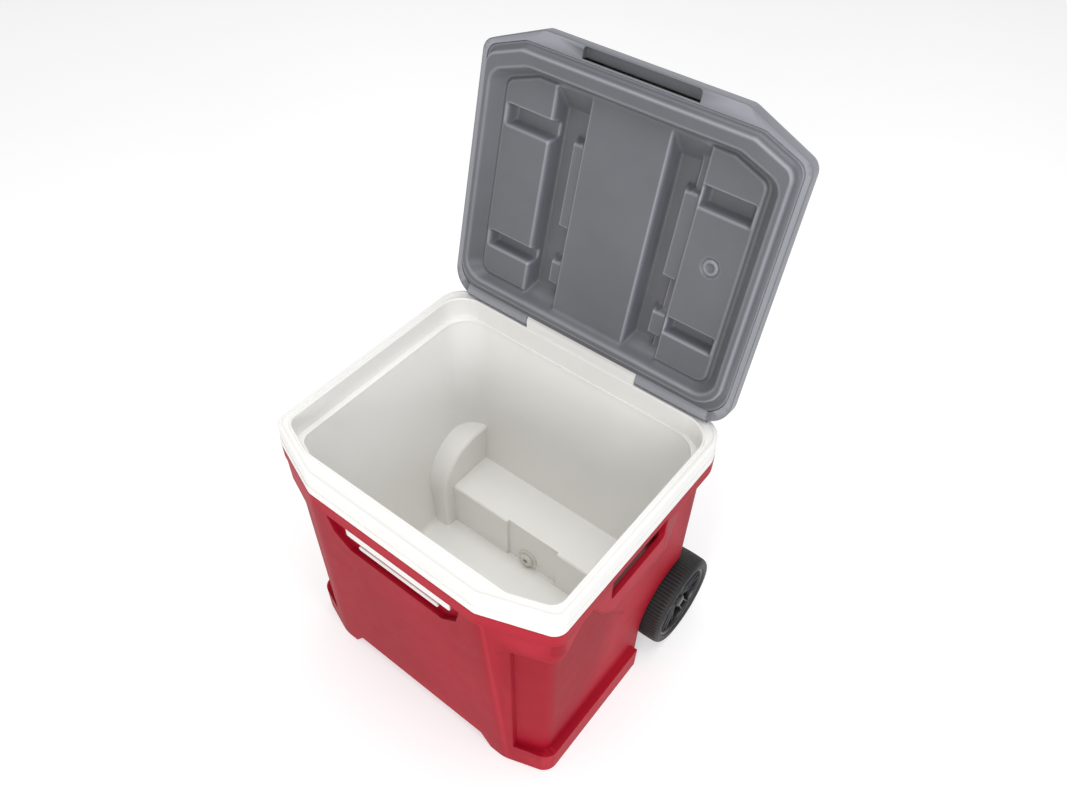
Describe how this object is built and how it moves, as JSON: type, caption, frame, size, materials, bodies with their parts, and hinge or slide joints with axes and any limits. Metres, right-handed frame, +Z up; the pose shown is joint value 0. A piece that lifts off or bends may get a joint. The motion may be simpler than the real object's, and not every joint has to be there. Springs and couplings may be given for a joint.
{
  "type": "wheeled cool box",
  "caption": "Hard-sided wheeled cool box with a moulded red body, white tub and rim, hinged grey lid standing open, side grips, drain, tow handle and spoked rear wheels.",
  "frame": {"origin": "ground point under the middle of the whole part's box with the lid open", "axes": "+X across to the right wheel, +Y towards the hinge and wheels, +Z up"},
  "size_m": [0.518, 0.5345, 0.8749],
  "materials": {
    "red_shell": "injection moulded, semi-gloss red",
    "white_liner": "smooth food-grade white",
    "foam": "rigid closed-cell foam",
    "white_badge": "smooth white",
    "steel": "zinc plated rod",
    "grey_lid": "fine textured grey",
    "black_plastic": "moulded black",
    "tyre_rubber": "blow-moulded black tread",
    "seal_rubber": "soft black rubber",
    "grey_fitting": "off-white moulded fitting"
  },
  "bodies": {
    "body": {"outer_shell": "red_shell", "inner_liner": "white_liner", "body_foam": "foam", "front_badge": "white_badge", "axle": "steel", "axle_sleeve": "black_plastic", "hinge_rods": "steel", "drain_fitting": "grey_fitting", "drain_gasket": "seal_rubber", "drain_nut": "grey_fitting", "drain_collar": "grey_fitting", "bracket_right": "black_plastic", "bracket_left": "black_plastic", "bracket_screws": "steel", "handle_pins": "steel", "axle_washers": "grey_fitting", "push_nut_right": "steel", "push_nut_left": "steel"},
    "lid": {"lid_top": "grey_lid", "lid_liner": "grey_lid", "lid_foam": "foam", "fill_plug": "grey_lid"},
    "wheel_right": {"tyre_right": "tyre_rubber", "hub_right": "black_plastic", "hub_cap_right": "black_plastic"},
    "wheel_left": {"tyre_left": "tyre_rubber", "hub_left": "black_plastic", "hub_cap_left": "black_plastic"},
    "handle": {"handle_frame": "grey_lid", "handle_grip": "black_plastic"},
    "drain_cap": {"drain_cap": "black_plastic", "cap_seal": "seal_rubber"}
  },
  "joints": [
    {"name": "lid_hinge", "type": "hinge", "parent": "body", "child": "lid", "pos_m": [0, 0.144, 0.4715], "axis": [1, 0, 0], "range_deg": [0, 102.9]},
    {"name": "wheel_right_spin", "type": "hinge", "parent": "body", "child": "wheel_right", "pos_m": [0.23, 0.104, 0.079], "axis": [1, 0, 0], "continuous": true},
    {"name": "wheel_left_spin", "type": "hinge", "parent": "body", "child": "wheel_left", "pos_m": [-0.23, 0.104, 0.079], "axis": [1, 0, 0], "continuous": true},
    {"name": "handle_swing", "type": "hinge", "parent": "body", "child": "handle", "pos_m": [0, 0.163, 0.392], "axis": [1, 0, 0], "range_deg": [0, 118]},
    {"name": "drain_cap_pull", "type": "slide", "parent": "body", "child": "drain_cap", "axis": [0, 1, 0], "range_m": [0, 0.035]}
  ]
}
